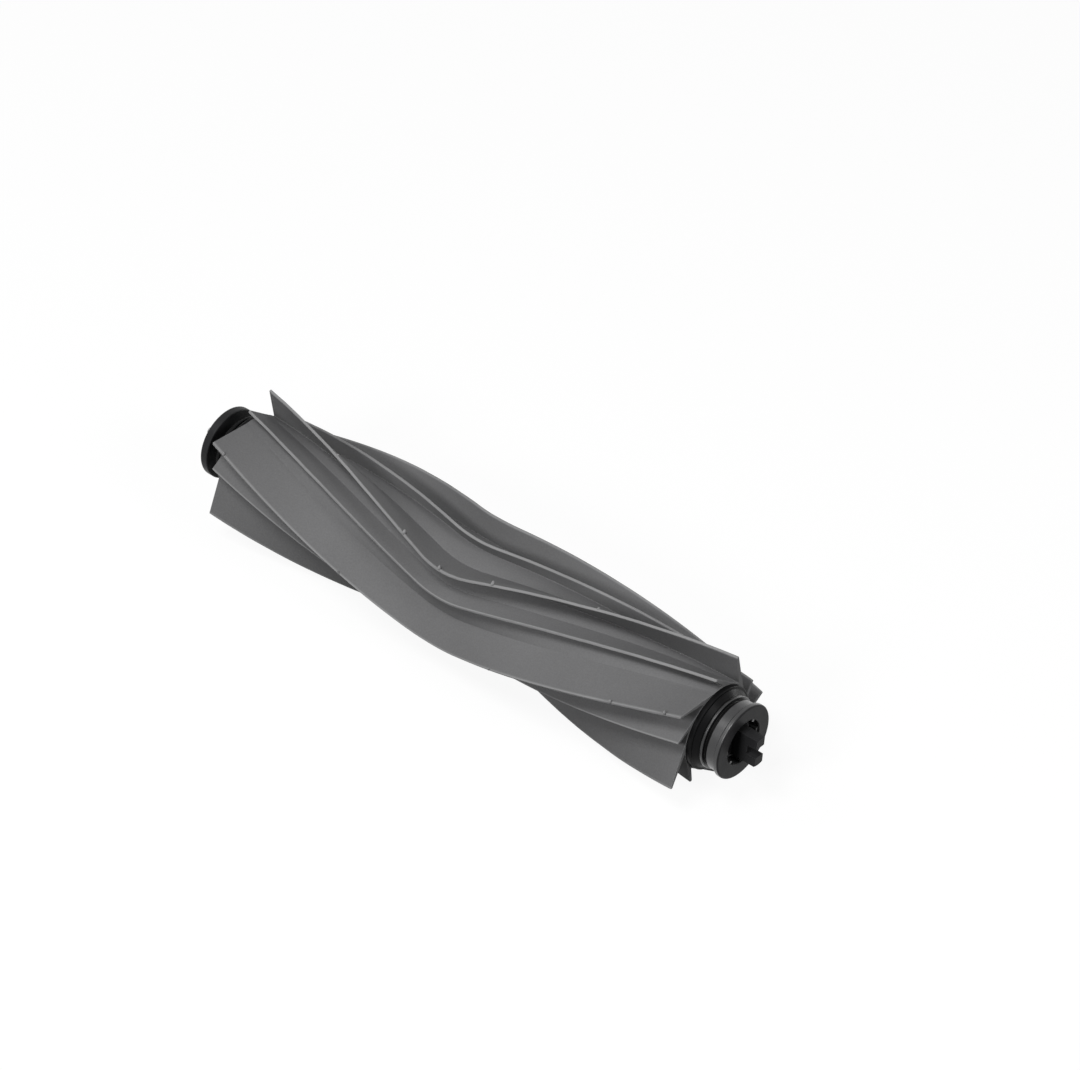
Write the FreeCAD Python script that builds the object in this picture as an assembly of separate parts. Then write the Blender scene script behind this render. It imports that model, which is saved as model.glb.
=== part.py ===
import FreeCAD, Part
import math
import os

# Robot vacuum roller brush. The roller turns about X, +X is the drive end, +Z is up and the origin is the middle
# of the sleeve. Angles round the roller are degrees from +Z, right-handed about +X. Lengths are millimetres.

# Rubber sleeve with leaning fins, one moulding
sleeve_length = 162.0
core_diameter = 24.5
sleeve_wall = 1.45
fin_pairs = 5
tall_fin_reach = 11.1
short_fin_reach = 6.1
fin_end_lean = 65.0
fin_middle_lean = 36.0
fin_root_thickness = 1.5
fin_tip_thickness = 0.95
fin_crotch_radius = 0.4
fin_phase = -54.8
fin_twist_rate = 0.885
chevron_blend = 8.0
loft_sections = 25
loft_degree = 5

# Rigid tube under the rubber
tube_wall = 1.5
bond_line = 0.05

# Both end plugs: spigot in the tube, flange against the sleeve, cone up to a thin lip, then the neck
spigot_length = 14.0
spigot_wall = 1.8
spigot_clearance = 0.05
plug_floor = 2.0
flange_diameter = 23.8
flange_width = 1.4
flange_edge_radius = 0.35
cone_root_diameter = 22.4
cone_end_diameter = 19.6
cone_length = 1.6
lip_diameter = 20.6
lip_width = 0.8
lip_edge_radius = 0.25
neck_diameter = 18.0

# Drive end: seat for the cup, then a flat dog with a notched end
neck_length = 1.2
seat_diameter = 9.6
dog_diameter = 9.1
dog_thickness = 3.1
dog_length = 5.2
dog_nose_chamfer = 0.3
dog_notch_width = 3.0
dog_notch_depth = 2.9
dog_angle = -4.0

# Ribbed cup on the drive shaft
cup_body_diameter = 19.7
cup_rim_diameter = 21.2
cup_rim_width = 1.5
cup_width = 4.1
cup_web = 0.8
cup_recess_diameter = 12.8
cup_hub_wall = 0.5
cup_hub_height = 1.6
cup_fit = 0.03
cup_front_radius = 0.5
cup_rim_radius = 0.3
cup_recess_radius = 0.25
cup_rib_count = 8
cup_rib_thickness = 0.9
cup_rib_reach = 0.7
cup_rib_sink = 0.5
cup_rib_root = 0.3

# Far end: neck with the bearing pocket
bearing_neck_length = 1.2
pocket_recess = 0.4
pocket_stop_diameter = 6.0
press_gap = 0.02

# Small shielded ball bearing
bearing_bore_diameter = 3.0
bearing_outside_diameter = 8.0
bearing_width = 4.0
inner_race_wall = 0.65
outer_race_wall = 0.8
ball_diameter = 1.588
ball_count = 7
ball_play = 0.03
cage_wall = 0.55
cage_width = 2.2
cage_play = 0.08
shield_thickness = 0.25
shield_inset = 0.12
shield_seat = 0.25
shield_gap = 0.15

# Stationary cap and its steel pin
cap_diameter = 20.8
cap_thickness = 2.4
cap_gap = 2.2
cap_hub_diameter = 8.4
cap_hub_clearance = 0.4
cap_outer_radius = 0.4
cap_inner_radius = 0.3
pin_shank_diameter = 4.0
pin_stub_diameter = 2.5
pin_stub_length = 6.5
pin_nose_chamfer = 0.3
pin_inner_overrun = 0.2
pin_inner_chamfer = 0.2

# Places and radii that follow from the sizes above
ORIGIN = FreeCAD.Vector(0, 0, 0)
AXIS = FreeCAD.Vector(1, 0, 0)
FULL_TURN = 360.0
half_length = sleeve_length / 2
core_radius = core_diameter / 2
sleeve_bore_radius = core_radius - sleeve_wall
tube_radius = sleeve_bore_radius - bond_line
tube_bore_radius = tube_radius - tube_wall
spigot_radius = tube_bore_radius - spigot_clearance
flange_end = half_length + flange_width
cone_end = flange_end + cone_length
neck_start = cone_end + lip_width
cup_back = neck_start + neck_length
cup_front = cup_back + cup_width
seat_end = cup_back + cup_hub_height
rim_start = cup_front - cup_rim_width
dog_end = cup_front + dog_length
bearing_neck_end = neck_start + bearing_neck_length
bearing_outer_face = bearing_neck_end - pocket_recess
bearing_middle = bearing_outer_face - bearing_width / 2
bearing_inner_face = bearing_outer_face - bearing_width
bearing_bore_radius = bearing_bore_diameter / 2
bearing_outside_radius = bearing_outside_diameter / 2
inner_land_radius = bearing_bore_radius + inner_race_wall
outer_land_radius = bearing_outside_radius - outer_race_wall
ball_pitch_radius = (inner_land_radius + outer_land_radius) / 2
ball_radius = ball_diameter / 2
cap_inner_face = bearing_neck_end + cap_gap
cap_outer_face = cap_inner_face + cap_thickness


def around(radius, angle):
    """Point at a radius and an angle round the roller, in the plane x = 0."""
    turn = math.radians(angle)
    return FreeCAD.Vector(0, -radius * math.sin(turn), radius * math.cos(turn))


def line(start, end):
    return Part.LineSegment(start, end).toShape()


def arc(start, middle, end):
    return Part.Arc(start, middle, end).toShape()


def turned(outline, side=1):
    """Solid of revolution about the roller's axis from (x, radius) corners, mirrored to -X when side is -1."""
    corners = [FreeCAD.Vector(side * x, 0, radius) for x, radius in outline]
    face = Part.Face(Part.makePolygon(corners + corners[:1]))
    return face.revolve(ORIGIN, AXIS, FULL_TURN)


def round_rim(shape, x, radius, fillet):
    """Fillet the circular edge of that radius at that place along the axis."""
    rims = []
    for edge in shape.Edges:
        curve = edge.Curve
        if not isinstance(curve, Part.Circle):
            continue
        if abs(curve.Center.x - x) < 1e-6 and abs(curve.Radius - radius) < 1e-6:
            rims.append(edge)
    return shape.makeFillet(fillet, rims)


def turned_round(angle, shape):
    """Copy of a shape, turned about the roller's axis."""
    copy = shape.copy()
    copy.rotate(ORIGIN, AXIS, angle)
    return copy


def line_meets_circle(point, direction, radius, forward):
    """Point where a line crosses a circle about the axis, ahead of or behind the line's nearest point."""
    along = point.dot(direction)
    root = math.sqrt(along * along - point.dot(point) + radius * radius)
    return point + direction * ((root if forward else -root) - along)


def fin_corners(root_angle, reach, lean):
    """Corners of one leaning fin's section: core, tip back, tip front, crotch start, crotch middle, core."""
    outward = around(1, root_angle)
    sideways = around(1, root_angle + 90)
    along = outward * math.cos(lean) + sideways * math.sin(lean)
    across = sideways * math.cos(lean) - outward * math.sin(lean)
    root = outward * core_radius
    tip = root + along * reach
    root_half = across * (fin_root_thickness / 2)
    tip_half = across * (fin_tip_thickness / 2)
    back_line = (tip - tip_half) - (root - root_half)
    front_line = (tip + tip_half) - (root + root_half)
    back_line.normalize()
    front_line.normalize()
    back_foot = line_meets_circle(root - root_half, back_line, core_radius, True)
    front_normal = AXIS.cross(front_line)
    crotch_line = root + root_half + front_normal * fin_crotch_radius
    crotch = line_meets_circle(crotch_line, front_line, core_radius + fin_crotch_radius, True)
    on_fin = crotch - front_normal * fin_crotch_radius
    on_core = crotch * (core_radius / (core_radius + fin_crotch_radius))
    to_middle = (on_fin - crotch) + (on_core - crotch)
    to_middle.normalize()
    middle = crotch + to_middle * fin_crotch_radius
    return [back_foot, tip - tip_half, tip + tip_half, on_fin, middle, on_core]


def tip_lead(reach, lean):
    """How far round the roller a fin's tip lies ahead of its root, and the tip's distance from the axis."""
    outward = core_radius + reach * math.cos(lean)
    sideways = reach * math.sin(lean)
    return math.degrees(math.atan2(sideways, outward)), math.hypot(outward, sideways)


def sleeve_section(lean):
    """Closed outline of the sleeve across the roller: fins in turn tall and short, with core arcs between.
    The roots move with the lean, so that the tips keep their places."""
    step = FULL_TURN / (2 * fin_pairs)
    fins = []
    for index in range(2 * fin_pairs):
        end_reach = short_fin_reach if index % 2 else tall_fin_reach
        end_lead, tip_radius = tip_lead(end_reach, math.radians(fin_end_lean))
        reach = math.sqrt(tip_radius ** 2 - (core_radius * math.sin(lean)) ** 2) - core_radius * math.cos(lean)
        lead, tip_radius = tip_lead(reach, lean)
        fins.append(fin_corners(index * step + end_lead - lead, reach, lean))
    edges = []
    for index, corners in enumerate(fins):
        back_foot, tip_back, tip_front, on_fin, middle, on_core = corners
        next_foot = fins[(index + 1) % len(fins)][0]
        between = on_core + next_foot
        between.normalize()
        edges.append(line(back_foot, tip_back))
        edges.append(line(tip_back, tip_front))
        edges.append(line(tip_front, on_fin))
        edges.append(arc(on_fin, middle, on_core))
        edges.append(arc(on_core, between * core_radius, next_foot))
    return Part.Wire(edges)


def chevron_distance(x):
    """Distance from the sleeve's middle, rounded where the two halves of the chevron meet."""
    if abs(x) < chevron_blend:
        return (x * x / chevron_blend + chevron_blend) / 2
    return abs(x)


def chevron_angle(x):
    """Turn of the section at a place along the roller: a straight helix each way."""
    return fin_phase + fin_twist_rate * (half_length - chevron_distance(x))


def lean_at(x):
    """Lean of the fins at a place along the roller: more upright towards the middle."""
    share = chevron_distance(x) / half_length
    return math.radians(fin_middle_lean + (fin_end_lean - fin_middle_lean) * share)


def sleeve_stations():
    """Evenly spaced places of the sections along the roller."""
    step = sleeve_length / (loft_sections - 1)
    return [index * step - half_length for index in range(loft_sections)]


def bar(start, end, radius):
    return Part.makeCylinder(radius, end - start, FreeCAD.Vector(start, 0, 0), AXIS)


def brush_sleeve():
    sections = []
    for x in sleeve_stations():
        section = turned_round(chevron_angle(x), sleeve_section(lean_at(x)))
        section.translate(FreeCAD.Vector(x, 0, 0))
        sections.append(section)
    body = Part.makeLoft(sections, True, False, False, loft_degree)
    return body.cut(bar(-sleeve_length, sleeve_length, sleeve_bore_radius))


def core_tube():
    outside = bar(-half_length, half_length, tube_radius)
    return outside.cut(bar(-sleeve_length, sleeve_length, tube_bore_radius))


def plug_outline(neck_end):
    """Corners that both plugs share, from the spigot's inner mouth to the outer end of the neck."""
    return [
        (half_length - plug_floor, spigot_radius - spigot_wall),
        (half_length - spigot_length, spigot_radius - spigot_wall),
        (half_length - spigot_length, spigot_radius),
        (half_length, spigot_radius),
        (half_length, flange_diameter / 2),
        (flange_end, flange_diameter / 2),
        (flange_end, cone_root_diameter / 2),
        (cone_end, cone_end_diameter / 2),
        (cone_end, lip_diameter / 2),
        (neck_start, lip_diameter / 2),
        (neck_start, neck_diameter / 2),
        (neck_end, neck_diameter / 2),
    ]


def finish_plug(plug, side):
    """Soften the flange's rim and both edges of the lip."""
    plug = round_rim(plug, side * flange_end, flange_diameter / 2, flange_edge_radius)
    plug = round_rim(plug, side * cone_end, lip_diameter / 2, lip_edge_radius)
    return round_rim(plug, side * neck_start, lip_diameter / 2, lip_edge_radius)


def drive_plug():
    outline = plug_outline(cup_back) + [
        (cup_back, seat_diameter / 2),
        (seat_end, seat_diameter / 2),
        (seat_end, dog_diameter / 2),
        (dog_end - dog_nose_chamfer, dog_diameter / 2),
        (dog_end, dog_diameter / 2 - dog_nose_chamfer),
        (dog_end, 0),
        (half_length - plug_floor, 0),
    ]
    plug = finish_plug(turned(outline), 1)
    reach = dog_end - seat_end + dog_length
    for corner_y in (dog_thickness / 2, -dog_thickness / 2 - dog_diameter):
        corner = FreeCAD.Vector(seat_end, corner_y, -dog_diameter)
        side = Part.makeBox(reach, dog_diameter, 2 * dog_diameter, corner)
        plug = plug.cut(turned_round(dog_angle, side))
    corner = FreeCAD.Vector(dog_end - dog_notch_depth, -dog_diameter, -dog_notch_width / 2)
    notch = Part.makeBox(reach, 2 * dog_diameter, dog_notch_width, corner)
    return plug.cut(turned_round(dog_angle, notch))


def drive_cup():
    bore = seat_diameter / 2 + cup_fit
    hub = bore + cup_hub_wall
    recess = cup_recess_diameter / 2
    cup = turned([
        (cup_back, bore),
        (cup_back, cup_body_diameter / 2),
        (rim_start, cup_body_diameter / 2),
        (rim_start, cup_rim_diameter / 2),
        (cup_front, cup_rim_diameter / 2),
        (cup_front, recess),
        (cup_back + cup_web, recess),
        (cup_back + cup_web, hub),
        (seat_end, hub),
        (seat_end, bore),
    ])
    cup = round_rim(cup, cup_front, cup_rim_diameter / 2, cup_front_radius)
    cup = round_rim(cup, rim_start, cup_rim_diameter / 2, cup_rim_radius)
    cup = round_rim(cup, cup_front, recess, cup_recess_radius)
    rib_height = cup_width - cup_rib_sink
    corner = FreeCAD.Vector(cup_back, -cup_rib_thickness / 2, recess - cup_rib_reach)
    rib = Part.makeBox(rib_height, cup_rib_thickness, cup_rib_reach + cup_rib_root, corner)
    ribs = [turned_round(index * FULL_TURN / cup_rib_count, rib) for index in range(cup_rib_count)]
    return cup.fuse(ribs).removeSplitter()


def bearing_plug():
    pocket = bearing_outside_radius + press_gap
    outline = plug_outline(bearing_neck_end) + [
        (bearing_neck_end, pocket),
        (bearing_inner_face, pocket),
        (bearing_inner_face, pocket_stop_diameter / 2),
        (half_length - plug_floor, pocket_stop_diameter / 2),
    ]
    return finish_plug(turned(outline, -1), -1)


def ball_groove():
    """Ring that the balls run in, with their play."""
    centre = FreeCAD.Vector(-bearing_middle, 0, 0)
    return Part.makeTorus(ball_pitch_radius, ball_radius + ball_play, centre, AXIS)


def bearing_inner_race():
    bore = bearing_bore_radius + press_gap
    race = turned([
        (bearing_inner_face, bore),
        (bearing_outer_face, bore),
        (bearing_outer_face, inner_land_radius),
        (bearing_inner_face, inner_land_radius),
    ], -1)
    return race.cut(ball_groove())


def shield_places():
    """Inner and outer plane of each shield along the axis."""
    outer = bearing_outer_face - shield_inset
    inner = bearing_inner_face + shield_inset
    return [(outer - shield_thickness, outer), (inner, inner + shield_thickness)]


def bearing_outer_race():
    seat = outer_land_radius + shield_seat
    (outer_low, _), (_, inner_high) = shield_places()
    race = turned([
        (bearing_inner_face, bearing_outside_radius),
        (bearing_outer_face, bearing_outside_radius),
        (bearing_outer_face, seat),
        (outer_low, seat),
        (outer_low, outer_land_radius),
        (inner_high, outer_land_radius),
        (inner_high, seat),
        (bearing_inner_face, seat),
    ], -1)
    return race.cut(ball_groove())


def bearing_shields():
    hole = inner_land_radius + shield_gap
    rim = outer_land_radius + shield_seat - press_gap
    discs = []
    for low, high in shield_places():
        discs.append(turned([(low, hole), (high, hole), (high, rim), (low, rim)], -1))
    return Part.makeCompound(discs)


def ball_places():
    """Centres of the balls on the bearing's pitch circle."""
    middle = FreeCAD.Vector(-bearing_middle, 0, 0)
    return [middle + around(ball_pitch_radius, index * FULL_TURN / ball_count) for index in range(ball_count)]


def bearing_balls():
    return Part.makeCompound([Part.makeSphere(ball_radius, place) for place in ball_places()])


def bearing_cage():
    inner = ball_pitch_radius - cage_wall / 2
    outer = ball_pitch_radius + cage_wall / 2
    low = bearing_middle - cage_width / 2
    high = bearing_middle + cage_width / 2
    cage = turned([(low, inner), (high, inner), (high, outer), (low, outer)], -1)
    pockets = []
    for place in ball_places():
        outward = FreeCAD.Vector(0, place.y, place.z)
        start = FreeCAD.Vector(place.x, 0, 0)
        pockets.append(Part.makeCylinder(ball_radius + cage_play, bearing_outside_radius, start, outward))
    return cage.cut(pockets)


def bearing_cap():
    bore = pin_shank_diameter / 2 + press_gap
    hub_end = bearing_neck_end + cap_hub_clearance
    cap = turned([
        (hub_end, bore),
        (hub_end, cap_hub_diameter / 2),
        (cap_inner_face, cap_hub_diameter / 2),
        (cap_inner_face, cap_diameter / 2),
        (cap_outer_face, cap_diameter / 2),
        (cap_outer_face, bore),
    ], -1)
    cap = round_rim(cap, -cap_outer_face, cap_diameter / 2, cap_outer_radius)
    return round_rim(cap, -cap_inner_face, cap_diameter / 2, cap_inner_radius)


def axle_pin():
    inner_end = bearing_inner_face - pin_inner_overrun
    stub_end = cap_outer_face + pin_stub_length
    shank = pin_shank_diameter / 2
    stub = pin_stub_diameter / 2
    return turned([
        (inner_end, 0),
        (inner_end, bearing_bore_radius - pin_inner_chamfer),
        (inner_end + pin_inner_chamfer, bearing_bore_radius),
        (bearing_outer_face, bearing_bore_radius),
        (bearing_outer_face, shank),
        (cap_outer_face, shank),
        (cap_outer_face, stub),
        (stub_end - pin_nose_chamfer, stub),
        (stub_end, stub - pin_nose_chamfer),
        (stub_end, 0),
    ], -1)


PIECES = [
    brush_sleeve,
    core_tube,
    drive_plug,
    drive_cup,
    bearing_plug,
    bearing_cap,
    axle_pin,
    bearing_inner_race,
    bearing_outer_race,
    bearing_shields,
    bearing_cage,
    bearing_balls,
]

os.makedirs("parts", exist_ok=True)
for piece in PIECES:
    shape = piece()
    shape.exportStep("parts/" + piece.__name__ + ".step")
    print(piece.__name__, len(shape.Solids), round(shape.Volume, 2), shape.isValid())
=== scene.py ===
import math
from collections import namedtuple

import bmesh
import bpy
import numpy as np
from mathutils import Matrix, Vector, noise


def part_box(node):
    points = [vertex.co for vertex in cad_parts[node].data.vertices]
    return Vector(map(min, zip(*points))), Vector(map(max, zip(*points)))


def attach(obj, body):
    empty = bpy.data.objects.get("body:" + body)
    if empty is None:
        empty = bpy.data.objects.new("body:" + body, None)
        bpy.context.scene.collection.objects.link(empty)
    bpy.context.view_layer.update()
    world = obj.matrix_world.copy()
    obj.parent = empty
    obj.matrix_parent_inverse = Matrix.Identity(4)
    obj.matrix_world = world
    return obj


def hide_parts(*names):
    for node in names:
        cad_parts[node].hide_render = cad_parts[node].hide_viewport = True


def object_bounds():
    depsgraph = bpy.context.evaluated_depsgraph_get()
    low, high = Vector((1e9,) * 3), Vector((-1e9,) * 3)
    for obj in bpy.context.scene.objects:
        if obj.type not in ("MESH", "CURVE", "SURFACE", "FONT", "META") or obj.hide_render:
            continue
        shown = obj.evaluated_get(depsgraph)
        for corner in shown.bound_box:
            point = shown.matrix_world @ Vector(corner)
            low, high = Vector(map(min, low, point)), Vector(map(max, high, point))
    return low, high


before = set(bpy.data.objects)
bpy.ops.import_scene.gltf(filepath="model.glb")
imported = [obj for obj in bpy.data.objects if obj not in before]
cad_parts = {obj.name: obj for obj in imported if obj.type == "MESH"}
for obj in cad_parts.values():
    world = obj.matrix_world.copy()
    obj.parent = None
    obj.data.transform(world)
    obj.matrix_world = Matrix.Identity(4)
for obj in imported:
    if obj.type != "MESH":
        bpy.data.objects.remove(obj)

bl_info = {
    "name": "Roller Brush Finish",
    "version": (1, 0, 0),
    "blender": (4, 5, 0),
    "location": "3D View > Sidebar > Roller Brush",
    "description": "Dresses the packed roller brush: rubber sleeve, plastic ends, steel fittings and a stage",
    "category": "Object",
}

# The CAD model's box and the boxes of three nodes give the defaults that have to follow the solids
CAD_BOX = [list(corner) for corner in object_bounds()]
SLEEVE_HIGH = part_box("brush_sleeve")[1]
TUBE_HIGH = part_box("core_tube")[1]
CUP_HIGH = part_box("drive_cup")[1]
MM = 0.001

# Turn of the fins in degrees for each millimetre, and the millimetres of one half of the sleeve
HELIX = 0.885
HALF_SLEEVE = 81

# Where the points of a section stand: along a fin's back, along its front, and along the core to the next fin
BACK_STEPS = (0, 0.06, 0.3, 0.6, 0.86, 0.95)
FRONT_STEPS = (0.05, 0.14, 0.4, 0.7)
CORE_STEPS = (0.08, 0.3, 0.55, 0.8, 0.95)
ROUND_STEPS = 4

# Point between the two faces of the end's soft corner: how far along the sleeve and how far in, as shares
END_ROUND_ALONG = 0.7
END_ROUND_IN = 0.3

# Stray of the fin lines: waves for each metre, step between fins, layer of the noise, share
SWAYS = ((55, 3.7, 0.0, 1.0), (160, 5.1, 4.0, 0.5))

# The painted highlight along the fins' edges fades over this length, and lies only on the part of a fin past
# this share of its reach. The outlines of the cut ends carry a share of the painted highlight too
EDGE_FADE = 0.2 * MM
EDGE_FROM = 0.3
CUT_END_HIGHLIGHT = 0.55

# Moulding nubs left on the fins' edges: fin number, place along the roller in mm, size in mm
NUBS = [
    (0, -15.2, 0.62), (0, -0.6, 0.60), (0, 15.4, 0.62), (0, -47.0, 0.40), (0, 44.0, 0.40),
    (2, 61.0, 0.60), (2, 76.4, 0.56), (2, -76.2, 0.56), (2, -30.6, 0.50), (2, 22.0, 0.36),
    (4, -20.0, 0.48), (5, 12.0, 0.40), (6, -38.0, 0.50), (6, 57.4, 0.48), (7, -5.0, 0.40),
]
# A nub stands on the second point of the soft corner at the back of a fin's edge
NUB_POINT = len(BACK_STEPS) + 1
NUB_STRETCH = 1.25
NUB_STAND = 0.55
NUB_WIDTH = 0.75
NUB_TAPER = 0.25
NUB_LUMP = 0.3
NUB_LUMPS_PER_METRE = 2600
# Share of the painted highlight that the nubs carry
NUB_HIGHLIGHT = 0.95
# Share of the sleeve's box that the nubs may fill
NUB_LIMIT = 0.995

# The cup's wall shines up to this far from its front face
CUP_RIM = 0.3 * MM

# Lamps: name, setting that holds the power, side of the square, place and the point it faces, in metres
LAMPS = [
    ("key_lamp", "key_power", 0.25, (0, -0.82, 0.57), (0, 0, 0)),
    ("top_lamp", "top_power", 0.3, (0, -0.42, 0.91), (0, 0, 0)),
    ("side_lamp", "side_power", 0.4, (-0.56, -0.33, 0.76), (0, 0, 0)),
    ("rim_lamp", "rim_power", 0.25, (0.82, 0, 0.57), (0, 0, 0)),
    ("back_lamp", "back_power", 0.2, (0.3, 0.94, 0.06), (0, 0, -0.01)),
]
FLOOR_HALF = 4.0
SENSOR_WIDTH = 36.0
CLIP_START = 0.01
WHITE = (1, 1, 1, 1)

Section = namedtuple("Section", "points heights reaches bends numbers starts ends")


def length(name, description, default):
    """A length property in metres, shown in the scene's unit."""
    return bpy.props.FloatProperty(
        name=name, description=description, default=default, subtype="DISTANCE", unit="LENGTH", precision=5)


def angle(name, description, default):
    """An angle property, given in degrees."""
    return bpy.props.FloatProperty(
        name=name, description=description, default=math.radians(default), subtype="ANGLE", unit="ROTATION")


def colour(name, description, default):
    """A colour property."""
    return bpy.props.FloatVectorProperty(
        name=name, description=description, default=default, subtype="COLOR", size=3, min=0, max=1)


def share(name, description, default):
    """A property from 0 to 1."""
    return bpy.props.FloatProperty(
        name=name, description=description, default=default, subtype="FACTOR", min=0, max=1)


def power(name, description, default):
    """A lamp's power in watts."""
    return bpy.props.FloatProperty(
        name=name, description=description, default=default, subtype="POWER", unit="POWER")


def whole(name, description, default, lowest):
    """A whole number with a lowest value."""
    return bpy.props.IntProperty(name=name, description=description, default=default, min=lowest)


def shift(name, default):
    """A camera shift, as a share of the picture's longer side."""
    return bpy.props.FloatProperty(
        name=name, description="Camera shift that frames the roller", default=default)


class SleeveSettings(bpy.types.PropertyGroup):
    """Sizes and colours of the rubber sleeve with its leaning fins."""
    half_length: length("Half length", "From the sleeve's middle to its end", SLEEVE_HIGH.x)
    core_radius: length("Core radius", "Outside of the rubber between the fins", 12.25 * MM)
    bore_radius: length("Bore radius", "Inside of the rubber, on the tube", TUBE_HIGH.z + 0.05 * MM)
    tall_reach: length("Tall fin reach", "Length of a tall fin's section at the ends", 11.1 * MM)
    short_reach: length("Short fin reach", "Length of a short fin's section at the ends", 6.1 * MM)
    end_lean: angle("End lean", "Angle of a fin from the radius at its root, at the ends", 65.0)
    middle_lean: angle("Middle lean", "Angle of a fin from the radius at its root, in the middle", 36.0)
    root_thickness: length("Root thickness", "Fin thickness at the core", 1.5 * MM)
    tip_thickness: length("Tip thickness", "Fin thickness at its edge", 0.75 * MM)
    tip_round: length("Tip rounding", "Soft corner of a fin's edge", 0.18 * MM)
    crotch_radius: length("Crotch radius", "Round in the corner under a fin", 0.1 * MM)
    end_round: length("End rounding", "Soft corner of the sleeve's cut ends", 0.14 * MM)
    pairs: whole("Fin pairs", "Tall and short fins round the sleeve", 5, 2)
    phase: angle("Fin phase", "Turn of the section at the sleeve's ends", -54.8)
    twist: angle("Fin twist", "Turn of the fins along one half of the sleeve", HELIX * HALF_SLEEVE)
    blend: length("Chevron blend", "Half width of the rounded middle of the chevron", 8.0 * MM)
    ripple: length("Ripple", "How far a soft fin's edge strays from its true line", 0.12 * MM)
    crease: angle("Crease", "Bends sharper than this stay crisp, such as a fin's foot", 18.0)
    stations: whole("Stations", "Sections along the sleeve", 181, 21)
    rubber: colour("Rubber", "Moulded grey rubber", (0.158, 0.158, 0.160))
    # Colour of the painted highlight along the fins' edges, standing in for the light they catch
    painted_edge_highlight: colour("Trimmed edge", "Paler rubber along the fins' edges", (0.285, 0.285, 0.287))


class PlasticSettings(bpy.types.PropertyGroup):
    """Colours of the moulded plastic ends and the tube, and where the drive end's finishes change."""
    black: colour("Black plastic", "Deep black plugs", (0.0050, 0.0050, 0.0053))
    # Paler rims: light handling wear, and a painted highlight along the rims
    rubbed: colour("Rubbed edge", "Paler rims of the moulded ends", (0.075, 0.075, 0.077))
    satin: colour("Satin plastic", "Greyer satin of the cup, the cap and the dog", (0.020, 0.020, 0.021))
    # From this place on, the drive plug is coloured the greyer satin
    dog_start: length("Dog start", "Place along the roller where the rubbed dog begins", 88.0 * MM)
    lip_start: length("Lip start", "Place along the roller where the polished lip begins", 84.0 * MM)
    lip_end: length("Lip end", "Place along the roller where the polished lip ends", 84.9 * MM)
    tube: colour("Tube plastic", "Extruded tube under the rubber", (0.09, 0.09, 0.095))


class SteelSettings(bpy.types.PropertyGroup):
    """Colours of the steel pin and bearing."""
    pin: colour("Pin steel", "Ground pin", (0.24, 0.24, 0.245))
    race: colour("Race steel", "Polished races, balls and shields", (0.56, 0.56, 0.57))


class StageSettings(bpy.types.PropertyGroup):
    """Camera, lamps and floor."""
    azimuth: angle("Azimuth", "Camera's turn round the roller", 41.267)
    elevation: angle("Elevation", "Camera's height above the horizon", 41.755)
    distance: length("Distance", "From the sleeve's middle to the camera", 1.03927)
    lens: bpy.props.FloatProperty(
        name="Lens", description="Focal length in millimetres", default=131.6, subtype="DISTANCE_CAMERA")
    shift_x: shift("Shift across", 0.0604)
    shift_y: shift("Shift up", 0.0466)
    key_power: power("Key lamp", "Lamp in front of the roller", 4.0)
    top_power: power("Top lamp", "Lamp high over the front", 4.5)
    side_power: power("Side lamp", "Lamp in front of the bearing end", 1.3)
    rim_power: power("Rim lamp", "Lamp beyond the drive end", 2.6)
    back_power: power("Back lamp", "Low lamp behind the roller", 1.8)
    room_light: share("Room light", "Even light from all round", 0.03)
    floor: colour("Floor", "Plain floor, which the camera sees brighter", (0.10, 0.10, 0.10))
    floor_glow: share("Floor glow", "White that the camera sees on the floor besides its light", 0.91)


def across_roller(radius, turn):
    """Point across the roller, as (y, z), at an angle from +Z, right-handed about +X."""
    return np.array((-radius * math.sin(turn), radius * math.cos(turn)))


def unit(vector):
    """The vector at length 1."""
    return vector / np.linalg.norm(vector)


def line_meets_circle(point, direction, radius):
    """Place ahead on a line where it leaves a circle about the axis."""
    along = point @ direction
    return point + direction * (math.sqrt(along * along - point @ point + radius * radius) - along)


def rounded_corner(before, corner, after, radius):
    """Points that round a corner between its two neighbours."""
    to_before = unit(before - corner)
    to_after = unit(after - corner)
    opening = math.acos(np.clip(to_before @ to_after, -1, 1))
    setback = radius / math.tan(opening / 2)
    start = corner + to_before * setback
    end = corner + to_after * setback
    steps = np.linspace(0, 1, ROUND_STEPS)
    return [start * (1 - t) ** 2 + corner * 2 * t * (1 - t) + end * t * t for t in steps]


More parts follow.
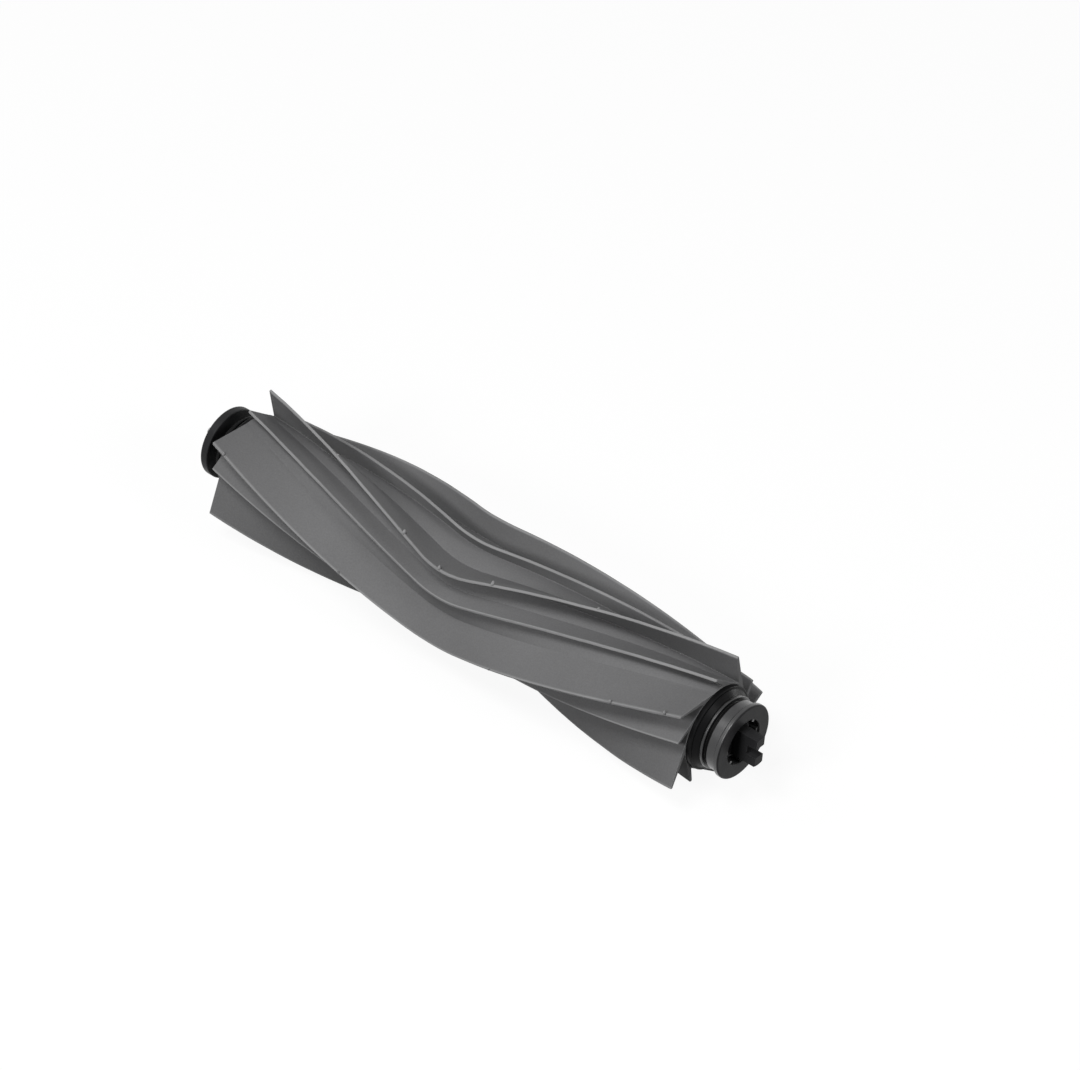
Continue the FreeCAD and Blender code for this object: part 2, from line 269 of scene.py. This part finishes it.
def fin_outline(sleeve, turn, reach, lean):
    """One fin's section from its back foot round the tip to the core, with each point's share of the fin's
    reach and the way across the fin."""
    outward = across_roller(1, turn)
    sideways = across_roller(1, turn + math.pi / 2)
    along = outward * math.cos(lean) + sideways * math.sin(lean)
    across = sideways * math.cos(lean) - outward * math.sin(lean)
    root = outward * sleeve.core_radius
    tip = root + along * reach
    root_half = across * sleeve.root_thickness / 2
    tip_half = across * sleeve.tip_thickness / 2
    back_line = unit((tip - tip_half) - (root - root_half))
    front_line = unit((tip + tip_half) - (root + root_half))
    back_foot = line_meets_circle(root - root_half, back_line, sleeve.core_radius)

    # The round in the corner under the fin touches the fin's front and the core
    normal = np.array((-front_line[1], front_line[0]))
    crotch = line_meets_circle(
        root + root_half + normal * sleeve.crotch_radius, front_line,
        sleeve.core_radius + sleeve.crotch_radius)
    on_fin = crotch - normal * sleeve.crotch_radius
    on_core = crotch * sleeve.core_radius / (sleeve.core_radius + sleeve.crotch_radius)
    middle = crotch + unit((on_fin - crotch) + (on_core - crotch)) * sleeve.crotch_radius

    back_round = rounded_corner(back_foot, tip - tip_half, tip + tip_half, sleeve.tip_round)
    front_round = rounded_corner(tip - tip_half, tip + tip_half, on_fin, sleeve.tip_round)
    points = [back_foot + (back_round[0] - back_foot) * t for t in BACK_STEPS]
    points += back_round + front_round
    points += [front_round[-1] + (on_fin - front_round[-1]) * t for t in FRONT_STEPS]
    points += [on_fin, middle, on_core]
    heights = [max(0.0, (point - root) @ along / reach) for point in points]
    return np.array(points), np.array(heights), across


def tip_lead(sleeve, reach, lean):
    """How far round the roller a fin's tip lies ahead of its root, and the tip's distance from the axis."""
    outward = sleeve.core_radius + reach * math.cos(lean)
    sideways = reach * math.sin(lean)
    return math.atan2(sideways, outward), math.hypot(outward, sideways)


def sleeve_section(sleeve, lean):
    """Closed outline across the sleeve. Every point has its share of the fin's reach, that reach, the way the
    fin bends and the fin's number, and every fin its first and last point. The roots move with the lean, so
    that the tips keep their places."""
    step = math.tau / (2 * sleeve.pairs)
    fins, fin_reaches = [], []
    for index in range(2 * sleeve.pairs):
        end_reach = sleeve.short_reach if index % 2 else sleeve.tall_reach
        end_lead, tip_radius = tip_lead(sleeve, end_reach, sleeve.end_lean)
        aside = sleeve.core_radius * math.sin(lean)
        reach = math.sqrt(tip_radius ** 2 - aside ** 2) - sleeve.core_radius * math.cos(lean)
        lead = tip_lead(sleeve, reach, lean)[0]
        fins.append(fin_outline(sleeve, index * step + end_lead - lead, reach, lean))
        fin_reaches.append(reach)
    points, heights, reaches, bends, numbers, starts, ends = [], [], [], [], [], [], []
    for index, (outline, height, across) in enumerate(fins):
        next_foot = fins[(index + 1) % len(fins)][0][0]
        first = math.atan2(-outline[-1][0], outline[-1][1])
        gap = (math.atan2(-next_foot[0], next_foot[1]) - first) % math.tau
        arc = [across_roller(sleeve.core_radius, first + gap * t) for t in CORE_STEPS]
        starts.append(len(points))
        ends.append(len(points) + len(outline) - 1)
        points += list(outline) + arc
        heights += list(height) + [0.0] * len(arc)
        count = len(outline) + len(arc)
        reaches += [fin_reaches[index]] * count
        bends += [across] * count
        numbers += [index] * count
    by_point = [np.array(values) for values in (points, heights, reaches, bends, numbers)]
    return Section(*by_point, starts, ends)


def chevron_distance(sleeve, x):
    """Distance from the sleeve's middle, rounded where the two halves of the chevron meet."""
    if abs(x) < sleeve.blend:
        return (x * x / sleeve.blend + sleeve.blend) / 2
    return abs(x)


def chevron_turn(sleeve, x):
    """Turn of the section at a place along the roller: a straight helix each way."""
    to_end = sleeve.half_length - chevron_distance(sleeve, x)
    return sleeve.phase + sleeve.twist * to_end / sleeve.half_length


def lean_at(sleeve, x):
    """Lean of the fins at a place along the roller: more upright towards the middle."""
    from_middle = chevron_distance(sleeve, x) / sleeve.half_length
    return sleeve.middle_lean + (sleeve.end_lean - sleeve.middle_lean) * from_middle


def turned(points, turn):
    """Points (y, z) turned about the roller's axis."""
    c, s = math.cos(turn), math.sin(turn)
    return np.stack((points[:, 0] * c - points[:, 1] * s, points[:, 0] * s + points[:, 1] * c), axis=1)


def inward(points):
    """Unit vectors into the rubber, across the outline at each of its points."""
    run = np.roll(points, -1, axis=0) - np.roll(points, 1, axis=0)
    run /= np.linalg.norm(run, axis=1)[:, None]
    return np.stack((-run[:, 1], run[:, 0]), axis=1)


def sleeve_places(sleeve):
    """Places along the roller, with each one's setback from the full outline for the ends' soft corners."""
    edge = sleeve.half_length - sleeve.end_round
    middle = [(x, 0.0) for x in np.linspace(-edge, edge, sleeve.stations)]
    corner = [
        (edge + sleeve.end_round * END_ROUND_ALONG, END_ROUND_IN * sleeve.end_round),
        (sleeve.half_length, sleeve.end_round),
    ]
    return [(-x, setback) for x, setback in reversed(corner)] + middle + corner


def fin_sway(sleeve, x):
    """How far each fin strays from its true line at a place along the roller, as a share of the ripple."""
    sway = np.zeros(2 * sleeve.pairs)
    for waves, step, layer, part in SWAYS:
        for number in range(2 * sleeve.pairs):
            sway[number] += part * noise.noise(Vector((x * waves, number * step, layer)))
    return sway


def bent_section(sleeve, section, x, setback):
    """The section's points at a place along the roller, with stray fins, the end's setback and the turn."""
    stray = sleeve.ripple * fin_sway(sleeve, x)[section.numbers] * section.heights ** 2
    bent = section.points + section.bends * stray[:, None] + inward(section.points) * setback
    return [(x, y, z) for y, z in turned(bent, chevron_turn(sleeve, x))]


def sleeve_mesh(sleeve):
    """Mesh of the whole sleeve, with each point's share of the painted highlight, near a fin's edge and on
    the cut ends, kept as the attribute edge.
    """
    places = sleeve_places(sleeve)
    vertices, edge = [], []
    for x, setback in places:
        section = sleeve_section(sleeve, lean_at(sleeve, x))
        to_tip = (1 - section.heights) * section.reaches
        # Painted highlight, fading in towards a fin's edge on its outer part; the cut ends get a share of it
        # as well
        highlight_mask = np.clip(1 - (to_tip - sleeve.tip_round) / EDGE_FADE, 0, 1) * (section.heights > EDGE_FROM)
        vertices += bent_section(sleeve, section, x, setback)
        edge += list(np.maximum(highlight_mask, CUT_END_HIGHLIGHT) if setback else highlight_mask)
    count = len(section.points)
    starts, ends = section.starts, section.ends

    # Outside, from ring to ring
    faces = []
    for ring in range(len(places) - 1):
        base = ring * count
        for index in range(count):
            other = (index + 1) % count
            faces.append((base + index, base + other, base + count + other, base + count + index))

    # Both cut ends: the ring round the bore, and one face for each fin
    rim = []
    for start, end, stop in zip(starts, ends, starts[1:] + [count]):
        rim += [start] + list(range(end, stop))
    next_on_rim = dict(zip(rim, rim[1:] + rim[:1]))
    bore_at = {}
    for side, ring in ((0, 0), (1, len(places) - 1)):
        base = ring * count
        bore_at[side] = {}
        for index in rim:
            x, y, z = vertices[base + index]
            flat = unit(np.array((y, z))) * sleeve.bore_radius
            bore_at[side][index] = len(vertices)
            vertices.append((x, flat[0], flat[1]))
            edge.append(0.0)
        for index, other in next_on_rim.items():
            face = (base + index, base + other, bore_at[side][other], bore_at[side][index])
            faces.append(face if side else face[::-1])
        for start, end in zip(starts, ends):
            face = [base + point for point in range(start, end + 1)]
            faces.append(face[::-1] if side else face)

    # The bore
    for index, other in next_on_rim.items():
        faces.append((bore_at[0][other], bore_at[0][index], bore_at[1][index], bore_at[1][other]))

    mesh = bpy.data.meshes.new("rubber_sleeve")
    mesh.from_pydata(vertices, [], faces)
    attribute = mesh.attributes.new("edge", "FLOAT", "POINT")
    attribute.data.foreach_set("value", np.array(edge, np.float32))
    mesh.validate()
    mesh.polygons.foreach_set("use_smooth", [True] * len(mesh.polygons))
    mesh.set_sharp_from_angle(angle=sleeve.crease)
    return mesh


def add_nubs(sleeve, mesh):
    """Small rubber nubs that the mould's vents leave on the fins' edges. They stand off a fin's back, within
    the sleeve's box."""
    built = bmesh.new()
    built.from_mesh(mesh)
    edge = built.verts.layers.float["edge"]
    limit = NUB_LIMIT * SLEEVE_HIGH.z
    for fin, place, size_mm in NUBS:
        x = place * MM
        size = size_mm * MM
        section = sleeve_section(sleeve, lean_at(sleeve, x))
        corner = section.starts[fin] + NUB_POINT
        turn = chevron_turn(sleeve, x)
        foot = Vector((x, *turned(section.points[corner:corner + 1], turn)[0]))
        way = Vector((0, *turned(-section.bends[corner:corner + 1], turn)[0])).normalized()
        bead = bmesh.ops.create_icosphere(built, subdivisions=2, radius=size)["verts"]
        for vert in bead:
            lump = 1 + NUB_LUMP * noise.noise(vert.co * NUB_LUMPS_PER_METRE + Vector((place, fin, 0)))
            up = vert.co.dot(way)
            aside = vert.co - way * up
            slim = NUB_WIDTH - NUB_TAPER * up / size
            vert.co = foot + aside * slim * lump + way * (NUB_STRETCH * up + NUB_STAND * size)
            vert.co.y = max(-limit, min(limit, vert.co.y))
            vert.co.z = max(-limit, min(limit, vert.co.z))
            # The nubs carry the painted highlight of the fins' edges
            vert[edge] = NUB_HIGHLIGHT
            for face in vert.link_faces:
                face.smooth = True
    built.to_mesh(mesh)
    built.free()


def put(tree, kind, place, **values):
    """Add a node at a place in the tree and set its unlinked sockets by name."""
    node = tree.nodes.new(kind)
    node.location = place
    for name, value in values.items():
        node.inputs[name.replace("_", " ")].default_value = value
    return node


def new_group(name, inputs, outputs):
    """Empty shader node group with named sockets. Inputs are (name, type, default)."""
    tree = bpy.data.node_groups.new(name, "ShaderNodeTree")
    for label, kind, default in inputs:
        socket = tree.interface.new_socket(label, in_out="INPUT", socket_type=kind)
        socket.default_value = default
    for label, kind in outputs:
        tree.interface.new_socket(label, in_out="OUTPUT", socket_type=kind)
    return tree, put(tree, "NodeGroupInput", (-900, 0)), put(tree, "NodeGroupOutput", (700, 0))


def maths(tree, operation, place, first, second):
    """Math node whose two values are sockets or plain numbers."""
    node = put(tree, "ShaderNodeMath", place)
    node.operation = operation
    for socket, value in zip(node.inputs, (first, second)):
        if isinstance(value, (int, float)):
            socket.default_value = value
        else:
            tree.links.new(value, socket)
    return node.outputs[0]


def scaled_from(tree, place, base, value, gain):
    """A base number plus a value times a gain."""
    scaled = maths(tree, "MULTIPLY", (place[0] - 200, place[1]), value, gain)
    return maths(tree, "ADD", place, scaled, base)


def mix_colour(tree, place, factor, first, second):
    """Colour mix whose factor and colours are sockets or plain values."""
    node = put(tree, "ShaderNodeMix", place)
    node.data_type = "RGBA"
    for socket, value in zip((node.inputs[0], node.inputs[6], node.inputs[7]), (factor, first, second)):
        if isinstance(value, bpy.types.NodeSocket):
            tree.links.new(value, socket)
        else:
            socket.default_value = value
    return node.outputs[2]


def object_place(tree, place):
    """The point's place in the object."""
    return put(tree, "ShaderNodeTexCoord", place).outputs["Object"]


def grain_group():
    """Fine moulded grain with a slow cloudiness, as a height and as two masks."""
    name = "Moulded grain"
    if name in bpy.data.node_groups:
        return bpy.data.node_groups[name]
    tree, given, out = new_group(
        name,
        [("Grain size", "NodeSocketFloat", 2600.0), ("Cloud size", "NodeSocketFloat", 60.0)],
        [("Height", "NodeSocketFloat"), ("Speckle", "NodeSocketFloat"), ("Cloud", "NodeSocketFloat")])
    place = object_place(tree, (-900, 300))
    fine = put(tree, "ShaderNodeTexNoise", (-600, 300), Detail=2.0, Roughness=0.55)
    cloud = put(tree, "ShaderNodeTexNoise", (-600, 0), Detail=4.0, Roughness=0.6)
    pits = put(tree, "ShaderNodeTexVoronoi", (-600, -300))
    for node in (fine, cloud, pits):
        tree.links.new(place, node.inputs["Vector"])
    tree.links.new(given.outputs["Grain size"], fine.inputs["Scale"])
    tree.links.new(given.outputs["Cloud size"], cloud.inputs["Scale"])
    pit_size = maths(tree, "MULTIPLY", (-800, -300), given.outputs["Grain size"], 0.45)
    tree.links.new(pit_size, pits.inputs["Scale"])
    pit_depth = maths(tree, "MULTIPLY", (-450, -150), pits.outputs["Distance"], 0.35)
    height = maths(tree, "ADD", (-300, 200), fine.outputs[0], pit_depth)
    tree.links.new(height, out.inputs["Height"])
    tree.links.new(maths(tree, "SUBTRACT", (-300, 0), fine.outputs[0], 0.5), out.inputs["Speckle"])
    tree.links.new(maths(tree, "SUBTRACT", (-300, -200), cloud.outputs[0], 0.5), out.inputs["Cloud"])
    return tree


def rim_wear_and_highlight_group():
    """Mask of the sharp edges of a piece, broken up by noise: light handling wear, and a painted highlight on
    the rims.
    """
    name = "Rubbed rims"
    if name in bpy.data.node_groups:
        return bpy.data.node_groups[name]
    tree, given, out = new_group(
        name,
        [("Width", "NodeSocketFloat", 0.0003), ("Strength", "NodeSocketFloat", 3.0),
         ("Break up", "NodeSocketFloat", 0.5)],
        [("Mask", "NodeSocketFloat")])
    soft = put(tree, "ShaderNodeBevel", (-600, 200))
    soft.samples = 6
    tree.links.new(given.outputs["Width"], soft.inputs["Radius"])
    face = put(tree, "ShaderNodeNewGeometry", (-600, 0))
    dot = put(tree, "ShaderNodeVectorMath", (-400, 100))
    dot.operation = "DOT_PRODUCT"
    tree.links.new(soft.outputs["Normal"], dot.inputs[0])
    tree.links.new(face.outputs["Normal"], dot.inputs[1])
    away = maths(tree, "SUBTRACT", (-200, 100), 1.0, dot.outputs["Value"])
    strong = maths(tree, "MULTIPLY", (0, 100), away, given.outputs["Strength"])
    rough = put(tree, "ShaderNodeTexNoise", (-600, -250), Scale=420.0, Detail=3.0)
    tree.links.new(object_place(tree, (-900, -250)), rough.inputs["Vector"])
    less = maths(tree, "MULTIPLY", (-200, -250), rough.outputs[0], given.outputs["Break up"])
    mask = put(tree, "ShaderNodeClamp", (300, 0))
    tree.links.new(maths(tree, "SUBTRACT", (150, 0), strong, less), mask.inputs["Value"])
    tree.links.new(mask.outputs[0], out.inputs["Mask"])
    return tree


def tone_group():
    """A colour made lighter and darker by two masks, evenly about its own value."""
    name = "Toned colour"
    if name in bpy.data.node_groups:
        return bpy.data.node_groups[name]
    tree, given, out = new_group(
        name,
        [("Colour", "NodeSocketColor", (0.2, 0.2, 0.2, 1)), ("Cloud", "NodeSocketFloat", 0.0),
         ("Speckle", "NodeSocketFloat", 0.0), ("Cloud share", "NodeSocketFloat", 0.3),
         ("Speckle share", "NodeSocketFloat", 0.2)],
        [("Colour", "NodeSocketColor")])
    cloud = maths(tree, "MULTIPLY", (-600, 0), given.outputs["Cloud"], given.outputs["Cloud share"])
    speckle = maths(tree, "MULTIPLY", (-600, -200), given.outputs["Speckle"], given.outputs["Speckle share"])
    gain = maths(tree, "ADD", (-200, -100), maths(tree, "ADD", (-400, -100), cloud, speckle), 1.0)
    scaled = put(tree, "ShaderNodeVectorMath", (200, 0))
    scaled.operation = "SCALE"
    tree.links.new(given.outputs["Colour"], scaled.inputs[0])
    tree.links.new(gain, scaled.inputs["Scale"])
    tree.links.new(scaled.outputs[0], out.inputs["Colour"])
    return tree


def place_group(tree, group, place, **values):
    """Place a node group in a material and set its unlinked sockets by name."""
    node = tree.nodes.new("ShaderNodeGroup")
    node.node_tree = group
    node.location = place
    for name, value in values.items():
        node.inputs[name.replace("_", " ")].default_value = value
    return node


def new_material(name, **values):
    """Material with a Principled shader whose constant sockets are set by name."""
    material = bpy.data.materials.new(name)
    material.use_nodes = True
    shader = material.node_tree.nodes["Principled BSDF"]
    for label, value in values.items():
        shader.inputs[label.replace("_", " ")].default_value = value
    return material, material.node_tree, shader


def opaque(rgb):
    """The colour with full alpha."""
    return (rgb[0], rgb[1], rgb[2], 1.0)


def toned(tree, grain, base, **shares):
    """A base colour toned by the grain's cloud and speckle, as a placed group."""
    tone = place_group(tree, tone_group(), (-1200, 200), **shares)
    tone.inputs["Colour"].default_value = opaque(base)
    for mask in ("Cloud", "Speckle"):
        tree.links.new(grain.outputs[mask], tone.inputs[mask])
    return tone


def bump(tree, shader, height, strength, depth):
    """Feed a height to the shader's normal."""
    node = put(tree, "ShaderNodeBump", (-300, -400), Strength=strength, Distance=depth)
    tree.links.new(height, node.inputs["Height"])
    tree.links.new(node.outputs["Normal"], shader.inputs["Normal"])


def rubber_material(sleeve):
    """Matte grey rubber with a painted highlight along the fins' edges, on the cut ends and on the nubs."""
    material, tree, shader = new_material("grey_rubber_moulded", Specular_IOR_Level=0.06)
    grain = place_group(tree, grain_group(), (-1500, 0), Grain_size=2300.0, Cloud_size=48.0)
    tone = toned(tree, grain, sleeve.rubber, Cloud_share=0.22, Speckle_share=0.32)
    # The attribute edge carries the painted highlight of the fins' edges, mixed in as the pale colour
    highlight_mask = put(tree, "ShaderNodeAttribute", (-1500, 500))
    highlight_mask.attribute_name = "edge"
    patchy = scaled_from(tree, (-1200, 500), base=0.85, value=grain.outputs["Cloud"], gain=0.9)
    mask = maths(tree, "MULTIPLY", (-1000, 500), highlight_mask.outputs["Fac"], patchy)
    base = mix_colour(tree, (-700, 300), mask, tone.outputs["Colour"], opaque(sleeve.painted_edge_highlight))
    tree.links.new(base, shader.inputs["Base Color"])
    rough = scaled_from(tree, (-700, 0), base=0.62, value=grain.outputs["Cloud"], gain=0.25)
    tree.links.new(rough, shader.inputs["Roughness"])
    bump(tree, shader, grain.outputs["Height"], strength=0.22, depth=0.12 * MM)
    return material


def along_roller(tree):
    """The point's place along the roller."""
    along = put(tree, "ShaderNodeSeparateXYZ", (-1900, 500))
    tree.links.new(object_place(tree, (-2100, 500)), along.inputs[0])
    return along.outputs["X"]


def polish(tree, shader, start, end):
    """Put a soft gloss on the band between two places along the roller."""
    middle = (start + end) / 2
    half = abs(end - start) / 2
    from_middle = maths(tree, "SUBTRACT", (-1700, 800), along_roller(tree), middle)
    off = maths(tree, "ABSOLUTE", (-1500, 800), from_middle, 0.0)
    shader.inputs["Coat Roughness"].default_value = 0.32
    tree.links.new(maths(tree, "LESS_THAN", (-1300, 800), off, half), shader.inputs["Coat Weight"])


def grey_past(tree, tone, base, grey_end, start):
    """Turn the base colour greyer past a place along the roller, over one millimetre."""
    past = put(
        tree, "ShaderNodeMapRange", (-1700, 500), From_Min=start - 0.5 * MM, From_Max=start + 0.5 * MM)
    tree.links.new(along_roller(tree), past.inputs["Value"])
    mixed = mix_colour(tree, (-1450, 500), past.outputs[0], opaque(base), opaque(grey_end))
    tree.links.new(mixed, tone.inputs["Colour"])


def plastic_material(name, base, rubbed, roughness, gloss, grain_size, grey_end=None, polished=None):
    """Moulded plastic with fine grain, slight cloudiness and paler rims, which are light handling wear and a
    painted highlight. A greyer colour with the place along the roller where it begins may be given, and
    polished the two places between which the plastic shines."""
    material, tree, shader = new_material(name, Specular_IOR_Level=gloss)
    grain = place_group(tree, grain_group(), (-1500, 0), Grain_size=grain_size, Cloud_size=120.0)
    tone = toned(tree, grain, base, Cloud_share=0.5, Speckle_share=0.5)
    if polished:
        polish(tree, shader, *polished)
    if grey_end:
        grey_past(tree, tone, base, *grey_end)
    # Paler rims: light handling wear, and a painted highlight along the rims
    rims = place_group(tree, rim_wear_and_highlight_group(), (-1200, -200), Width=0.22 * MM, Strength=2.4, Break_up=0.4)
    mixed = mix_colour(tree, (-700, 200), rims.outputs["Mask"], tone.outputs["Colour"], opaque(rubbed))
    tree.links.new(mixed, shader.inputs["Base Color"])
    rough = scaled_from(tree, (-700, -100), base=roughness, value=grain.outputs["Cloud"], gain=0.3)
    tree.links.new(rough, shader.inputs["Roughness"])
    bump(tree, shader, grain.outputs["Height"], strength=0.12, depth=0.06 * MM)
    return material


def steel_material(name, base, roughness, lines):
    """Turned steel: fine rings round the axis and a slight cloudiness."""
    material, tree, shader = new_material(name, Metallic=1.0)
    grain = place_group(tree, grain_group(), (-1500, 0), Grain_size=5200.0, Cloud_size=300.0)
    tone = toned(tree, grain, base, Cloud_share=0.25, Speckle_share=0.1)
    tree.links.new(tone.outputs["Colour"], shader.inputs["Base Color"])
    rings = put(tree, "ShaderNodeTexNoise", (-1200, -300), Scale=1.0, Detail=3.0)
    stretch = put(tree, "ShaderNodeMapping", (-1400, -300), Scale=(lines, lines * 0.02, lines * 0.02))
    tree.links.new(object_place(tree, (-1600, -300)), stretch.inputs["Vector"])
    tree.links.new(stretch.outputs[0], rings.inputs["Vector"])
    rough = scaled_from(tree, (-700, -100), base=roughness, value=rings.outputs[0], gain=0.22)
    tree.links.new(rough, shader.inputs["Roughness"])
    bump(tree, shader, rings.outputs[0], strength=0.1, depth=0.03 * MM)
    return material


def dress(node, material):
    """Give a CAD node its finish."""
    mesh_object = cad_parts[node]
    if not mesh_object.material_slots:
        mesh_object.data.materials.append(material)
    for place in mesh_object.material_slots:
        place.material = material


class ROLLERBRUSH_OT_sleeve(bpy.types.Operator):
    """Build the rubber sleeve with soft fin edges in place of the plain solid"""
    bl_idname = "rollerbrush.sleeve"
    bl_label = "Rubber Sleeve"

    def execute(self, context):
        settings = context.scene.roller_sleeve
        mesh = sleeve_mesh(settings)
        add_nubs(settings, mesh)
        sleeve = bpy.data.objects.new("rubber_sleeve", mesh)
        context.scene.collection.objects.link(sleeve)
        sleeve.data.materials.append(rubber_material(settings))
        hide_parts("brush_sleeve")
        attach(sleeve, "roller")
        return {"FINISHED"}


class ROLLERBRUSH_OT_plastic(bpy.types.Operator):
    """Finish the moulded plugs, cup and cap and the tube"""
    bl_idname = "rollerbrush.plastic"
    bl_label = "Plastic Ends"

    def execute(self, context):
        settings = context.scene.roller_plastic
        deep = plastic_material(
            "black_plastic_deep", settings.black, settings.rubbed,
            roughness=0.38, gloss=0.06, grain_size=4200.0,
            grey_end=(settings.satin, settings.dog_start), polished=(settings.lip_start, settings.lip_end))
        satin = plastic_material(
            "black_plastic_satin", settings.satin, settings.rubbed,
            roughness=0.42, gloss=0.10, grain_size=4200.0)
        turned_wall = plastic_material(
            "black_plastic_turned", settings.satin, settings.rubbed,
            roughness=0.42, gloss=0.08, grain_size=4200.0, polished=(0, CUP_HIGH.x - CUP_RIM))
        tube = plastic_material(
            "core_plastic_extruded", settings.tube, settings.tube,
            roughness=0.5, gloss=0.3, grain_size=1800.0)
        dress("drive_plug", deep)
        dress("bearing_plug", deep)
        dress("drive_cup", turned_wall)
        dress("bearing_cap", satin)
        dress("core_tube", tube)
        return {"FINISHED"}


class ROLLERBRUSH_OT_steel(bpy.types.Operator):
    """Finish the pin and the bearing"""
    bl_idname = "rollerbrush.steel"
    bl_label = "Steel Fittings"

    def execute(self, context):
        settings = context.scene.roller_steel
        dress("axle_pin", steel_material("pin_steel_ground", settings.pin, roughness=0.2, lines=9000.0))
        polished = steel_material("bearing_steel_polished", settings.race, roughness=0.12, lines=14000.0)
        for part in ("inner_race", "outer_race", "shields", "cage", "balls"):
            dress("bearing_" + part, polished)
        return {"FINISHED"}


def seen_directly(tree, place):
    """One where a ray comes from the camera, a mirror or a glass."""
    x, y = place
    path = put(tree, "ShaderNodeLightPath", place)
    seen = maths(
        tree, "MAXIMUM", (x + 200, y), path.outputs["Is Camera Ray"], path.outputs["Is Glossy Ray"])
    return maths(tree, "MAXIMUM", (x + 400, y), seen, path.outputs["Is Transmission Ray"])


def facing(way):
    """Turn of a lamp or camera that looks along a way."""
    return way.to_track_quat("-Z", "Y").to_euler()


def add_lamp(name, watts, size, place, target):
    """Square area lamp that faces a target."""
    data = bpy.data.lights.new(name, "AREA")
    data.shape = "SQUARE"
    data.size = size
    data.energy = watts
    lamp = bpy.data.objects.new(name, data)
    lamp.location = place
    lamp.rotation_euler = facing(Vector(target) - Vector(place))
    bpy.context.scene.collection.objects.link(lamp)


class ROLLERBRUSH_OT_stage(bpy.types.Operator):
    """Set the floor, the background, the lamps and the camera"""
    bl_idname = "rollerbrush.stage"
    bl_label = "Stage"

    def execute(self, context):
        stage = context.scene.roller_stage
        self.floor(context, stage)
        self.background(context, stage)
        for name, setting, size, place, target in LAMPS:
            add_lamp(name, getattr(stage, setting), size, place, target)
        self.camera(context, stage)
        context.scene.view_settings.view_transform = "Standard"
        return {"FINISHED"}

    def floor(self, context, stage):
        """Plain floor under the roller, which the camera sees nearly white."""
        level = CAD_BOX[0][2]
        corners = [(x * FLOOR_HALF, y * FLOOR_HALF, level) for x, y in ((-1, -1), (1, -1), (1, 1), (-1, 1))]
        mesh = bpy.data.meshes.new("floor")
        mesh.from_pydata(corners, [], [(0, 1, 2, 3)])
        floor = bpy.data.objects.new("floor", mesh)
        context.scene.collection.objects.link(floor)
        material, tree, shader = new_material("pale_floor", Roughness=0.9, Specular_IOR_Level=0.1)
        shader.inputs["Base Color"].default_value = opaque(stage.floor)
        shader.inputs["Emission Color"].default_value = WHITE
        glow = maths(tree, "MULTIPLY", (-300, -300), seen_directly(tree, (-900, -300)), stage.floor_glow)
        tree.links.new(glow, shader.inputs["Emission Strength"])
        mesh.materials.append(material)

    def background(self, context, stage):
        """White room that lights the roller only a little."""
        world = bpy.data.worlds.new("white_room")
        world.use_nodes = True
        context.scene.world = world
        tree = world.node_tree
        shade = tree.nodes["Background"]
        shade.inputs["Color"].default_value = WHITE
        seen = seen_directly(tree, (-900, 0))
        strength = scaled_from(tree, (-150, 0), stage.room_light, seen, 1.0 - stage.room_light)
        tree.links.new(strength, shade.inputs["Strength"])

    def camera(self, context, stage):
        """Camera at the photograph's angle."""
        data = bpy.data.cameras.new("camera")
        data.lens = stage.lens
        data.sensor_width = SENSOR_WIDTH
        data.shift_x = stage.shift_x
        data.shift_y = stage.shift_y
        data.clip_start = CLIP_START
        camera = bpy.data.objects.new("camera", data)
        a, e = stage.azimuth, stage.elevation
        back = Vector((math.sin(a) * math.cos(e), -math.cos(a) * math.cos(e), math.sin(e)))
        camera.location = back * stage.distance
        camera.rotation_euler = facing(-back)
        context.scene.collection.objects.link(camera)
        context.scene.camera = camera


class VIEW3D_PT_roller_brush(bpy.types.Panel):
    """Lists the roller brush's pieces and their settings."""
    bl_label = "Roller Brush"
    bl_space_type = "VIEW_3D"
    bl_region_type = "UI"
    bl_category = "Roller Brush"

    def draw(self, context):
        for group, settings, operator in SECTIONS:
            box = self.layout.box()
            box.operator(operator)
            for name in settings.__annotations__:
                box.prop(getattr(context.scene, group), name)


# The panel's sections: the scene's property, its settings and the operator that uses them
SECTIONS = [
    ("roller_sleeve", SleeveSettings, "rollerbrush.sleeve"),
    ("roller_plastic", PlasticSettings, "rollerbrush.plastic"),
    ("roller_steel", SteelSettings, "rollerbrush.steel"),
    ("roller_stage", StageSettings, "rollerbrush.stage"),
]
CLASSES = [
    SleeveSettings,
    PlasticSettings,
    SteelSettings,
    StageSettings,
    ROLLERBRUSH_OT_sleeve,
    ROLLERBRUSH_OT_plastic,
    ROLLERBRUSH_OT_steel,
    ROLLERBRUSH_OT_stage,
    VIEW3D_PT_roller_brush,
]


def register():
    for entry in CLASSES:
        bpy.utils.register_class(entry)
    for name, settings, operator in SECTIONS:
        setattr(bpy.types.Scene, name, bpy.props.PointerProperty(type=settings))


def unregister():
    for name, settings, operator in SECTIONS:
        delattr(bpy.types.Scene, name)
    for entry in reversed(CLASSES):
        bpy.utils.unregister_class(entry)


def main():
    register()
    bpy.ops.rollerbrush.sleeve()
    bpy.ops.rollerbrush.plastic()
    bpy.ops.rollerbrush.steel()
    bpy.ops.rollerbrush.stage()


if __name__ == "__main__":
    main()
